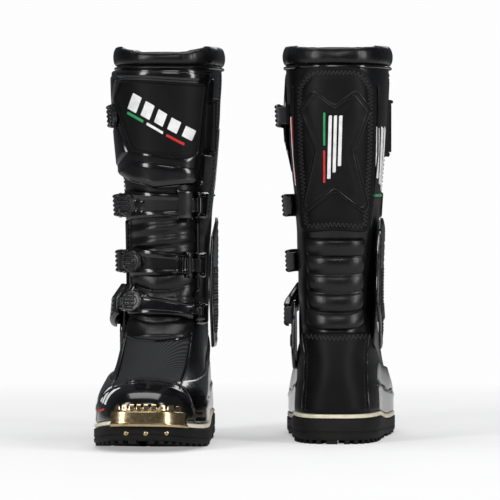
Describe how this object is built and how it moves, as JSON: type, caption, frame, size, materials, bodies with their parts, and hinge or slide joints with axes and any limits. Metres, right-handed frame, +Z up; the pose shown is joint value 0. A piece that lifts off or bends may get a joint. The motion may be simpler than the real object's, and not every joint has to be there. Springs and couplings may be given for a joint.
{
  "type": "riding boots",
  "caption": "Pair of tall buckled off-road riding boots with hinged ankles, plastic shin plates, strap buckles, bellows and a metal toe guard.",
  "frame": {"origin": "middle of the pair's footprint, on the floor", "axes": "+Z up; the right boot stands at -X with its toe towards -Y, the left boot at +X with its toe towards +Y; the buckled outer side of each faces -X"},
  "size_m": [0.3198, 0.4396, 0.415],
  "materials": {
    "tread_rubber": "matte moulded tread rubber",
    "welt_rubber": "cream mid-layer, smooth",
    "lining": "dark padded lining",
    "leather": "black semi-gloss grained leather",
    "soft_leather": "black padded soft leather",
    "vamp_mesh": "dark grey woven mesh with a fine diagonal stripe",
    "gloss_shell": "high-gloss black moulded plastic",
    "matte_rubber": "matte black rubberised panel",
    "buckle_plastic": "black moulded plastic with ridges",
    "catch_metal": "blackened steel",
    "guard_metal": "polished bronze-coloured metal"
  },
  "bodies": {
    "right_foot": {"right_outsole": "tread_rubber", "right_welt": "welt_rubber", "right_footbed": "lining", "right_foot_upper": "leather", "right_vamp_panel": "vamp_mesh", "right_toe_cap": "gloss_shell", "right_toe_guard": "guard_metal", "right_lateral_foot_shell": "gloss_shell", "right_medial_foot_shell": "gloss_shell", "right_heel_counter": "matte_rubber", "right_catch_4": "catch_metal"},
    "right_shaft": {"right_shaft_upper": "leather", "right_calf_panel": "matte_rubber", "right_calf_plate": "matte_rubber", "right_medial_guard": "gloss_shell", "right_collar": "soft_leather", "right_catch_1": "catch_metal", "right_catch_2": "catch_metal", "right_catch_3": "catch_metal", "right_instep_bellows": "leather", "right_achilles_bellows": "soft_leather", "right_ankle_liner": "lining"},
    "right_plate": {"right_shin_plate": "gloss_shell"},
    "right_lever1": {"right_lever_1": "buckle_plastic"},
    "right_lever2": {"right_lever_2": "buckle_plastic"},
    "right_lever3": {"right_lever_3": "buckle_plastic"},
    "right_lever4": {"right_lever_4": "buckle_plastic"},
    "right_band2": {"right_strap_2": "gloss_shell"},
    "right_band3": {"right_strap_3": "gloss_shell"},
    "right_band4": {"right_strap_4": "gloss_shell"},
    "left_foot": {"left_outsole": "tread_rubber", "left_welt": "welt_rubber", "left_footbed": "lining", "left_foot_upper": "leather", "left_vamp_panel": "vamp_mesh", "left_toe_cap": "gloss_shell", "left_toe_guard": "guard_metal", "left_lateral_foot_shell": "gloss_shell", "left_medial_foot_shell": "gloss_shell", "left_heel_counter": "matte_rubber", "left_catch_4": "catch_metal"},
    "left_shaft": {"left_shaft_upper": "leather", "left_calf_panel": "matte_rubber", "left_calf_plate": "matte_rubber", "left_medial_guard": "gloss_shell", "left_collar": "soft_leather", "left_catch_1": "catch_metal", "left_catch_2": "catch_metal", "left_catch_3": "catch_metal", "left_instep_bellows": "leather", "left_achilles_bellows": "soft_leather", "left_ankle_liner": "lining"},
    "left_plate": {"left_shin_plate": "gloss_shell"},
    "left_lever1": {"left_lever_1": "buckle_plastic"},
    "left_lever2": {"left_lever_2": "buckle_plastic"},
    "left_lever3": {"left_lever_3": "buckle_plastic"},
    "left_lever4": {"left_lever_4": "buckle_plastic"},
    "left_band2": {"left_strap_2": "gloss_shell"},
    "left_band3": {"left_strap_3": "gloss_shell"},
    "left_band4": {"left_strap_4": "gloss_shell"}
  },
  "joints": [
    {"name": "pair_spacing", "type": "slide", "parent": "right_foot", "child": "left_foot", "axis": [1, 0, 0], "range_m": [0, 0.15]},
    {"name": "right_ankle_flex", "type": "hinge", "parent": "right_foot", "child": "right_shaft", "pos_m": [-0.08393, 0.02447, 0.105], "axis": [0.9936, -0.1132, 0], "range_deg": [-8, 7], "stiffness_Nm_per_rad": 25, "deforming": ["right_instep_bellows", "right_achilles_bellows", "right_ankle_liner"]},
    {"name": "right_shin_plate_swing", "type": "hinge", "parent": "right_shaft", "child": "right_plate", "pos_m": [-0.03905, -0.03796, 0.32943], "axis": [0, 0, 1], "range_deg": [0, 22]},
    {"name": "right_lever_1_open", "type": "hinge", "parent": "right_plate", "child": "right_lever1", "pos_m": [-0.14559, -0.02115, 0.34133], "axis": [0, 0, 1], "range_deg": [0, 80]},
    {"name": "right_strap_2_swing", "type": "hinge", "parent": "right_shaft", "child": "right_band2", "pos_m": [-0.05333, -0.05042, 0.24759], "axis": [0, 0, 1], "range_deg": [0, 45]},
    {"name": "right_lever_2_open", "type": "hinge", "parent": "right_band2", "child": "right_lever2", "pos_m": [-0.13588, -0.0323, 0.24751], "axis": [0, 0, 1], "range_deg": [0, 80]},
    {"name": "right_strap_3_swing", "type": "hinge", "parent": "right_shaft", "child": "right_band3", "pos_m": [-0.05402, -0.04852, 0.18492], "axis": [0, 0, 1], "range_deg": [0, 45]},
    {"name": "right_lever_3_open", "type": "hinge", "parent": "right_band3", "child": "right_lever3", "pos_m": [-0.13136, -0.03856, 0.18888], "axis": [0, 0, 1], "range_deg": [0, 80]},
    {"name": "right_strap_4_swing", "type": "hinge", "parent": "right_foot", "child": "right_band4", "pos_m": [-0.05249, -0.06238, 0.13694], "axis": [0, 0, 1], "range_deg": [0, 45]},
    {"name": "right_lever_4_open", "type": "hinge", "parent": "right_band4", "child": "right_lever4", "pos_m": [-0.13411, -0.04921, 0.14648], "axis": [0, 0, 1], "range_deg": [0, 80]},
    {"name": "left_ankle_flex", "type": "hinge", "parent": "left_foot", "child": "left_shaft", "pos_m": [0.09171, -0.02533, 0.105], "axis": [-0.9981, 0.061, 0], "range_deg": [-8, 7], "stiffness_Nm_per_rad": 25, "deforming": ["left_instep_bellows", "left_achilles_bellows", "left_ankle_liner"]},
    {"name": "left_shin_plate_swing", "type": "hinge", "parent": "left_shaft", "child": "left_plate", "pos_m": [0.14675, 0.02836, 0.32943], "axis": [0, 0, -1], "range_deg": [0, 22]},
    {"name": "left_lever_1_open", "type": "hinge", "parent": "left_plate", "child": "left_lever1", "pos_m": [0.03891, 0.0303, 0.34133], "axis": [0, 0, -1], "range_deg": [0, 80]},
    {"name": "left_strap_2_swing", "type": "hinge", "parent": "left_shaft", "child": "left_band2", "pos_m": [0.13485, 0.0431, 0.24759], "axis": [0, 0, -1], "range_deg": [0, 45]},
    {"name": "left_lever_2_open", "type": "hinge", "parent": "left_band2", "child": "left_lever2", "pos_m": [0.05041, 0.0396, 0.24751], "axis": [0, 0, -1], "range_deg": [0, 80]},
    {"name": "left_strap_3_swing", "type": "hinge", "parent": "left_shaft", "child": "left_band3", "pos_m": [0.13385, 0.04136, 0.18492], "axis": [0, 0, -1], "range_deg": [0, 45]},
    {"name": "left_lever_3_open", "type": "hinge", "parent": "left_band3", "child": "left_lever3", "pos_m": [0.05595, 0.04498, 0.18888], "axis": [0, 0, -1], "range_deg": [0, 80]},
    {"name": "left_strap_4_swing", "type": "hinge", "parent": "left_foot", "child": "left_band4", "pos_m": [0.13776, 0.05474, 0.13694], "axis": [0, 0, -1], "range_deg": [0, 45]},
    {"name": "left_lever_4_open", "type": "hinge", "parent": "left_band4", "child": "left_lever4", "pos_m": [0.05509, 0.05595, 0.14648], "axis": [0, 0, -1], "range_deg": [0, 80]}
  ]
}
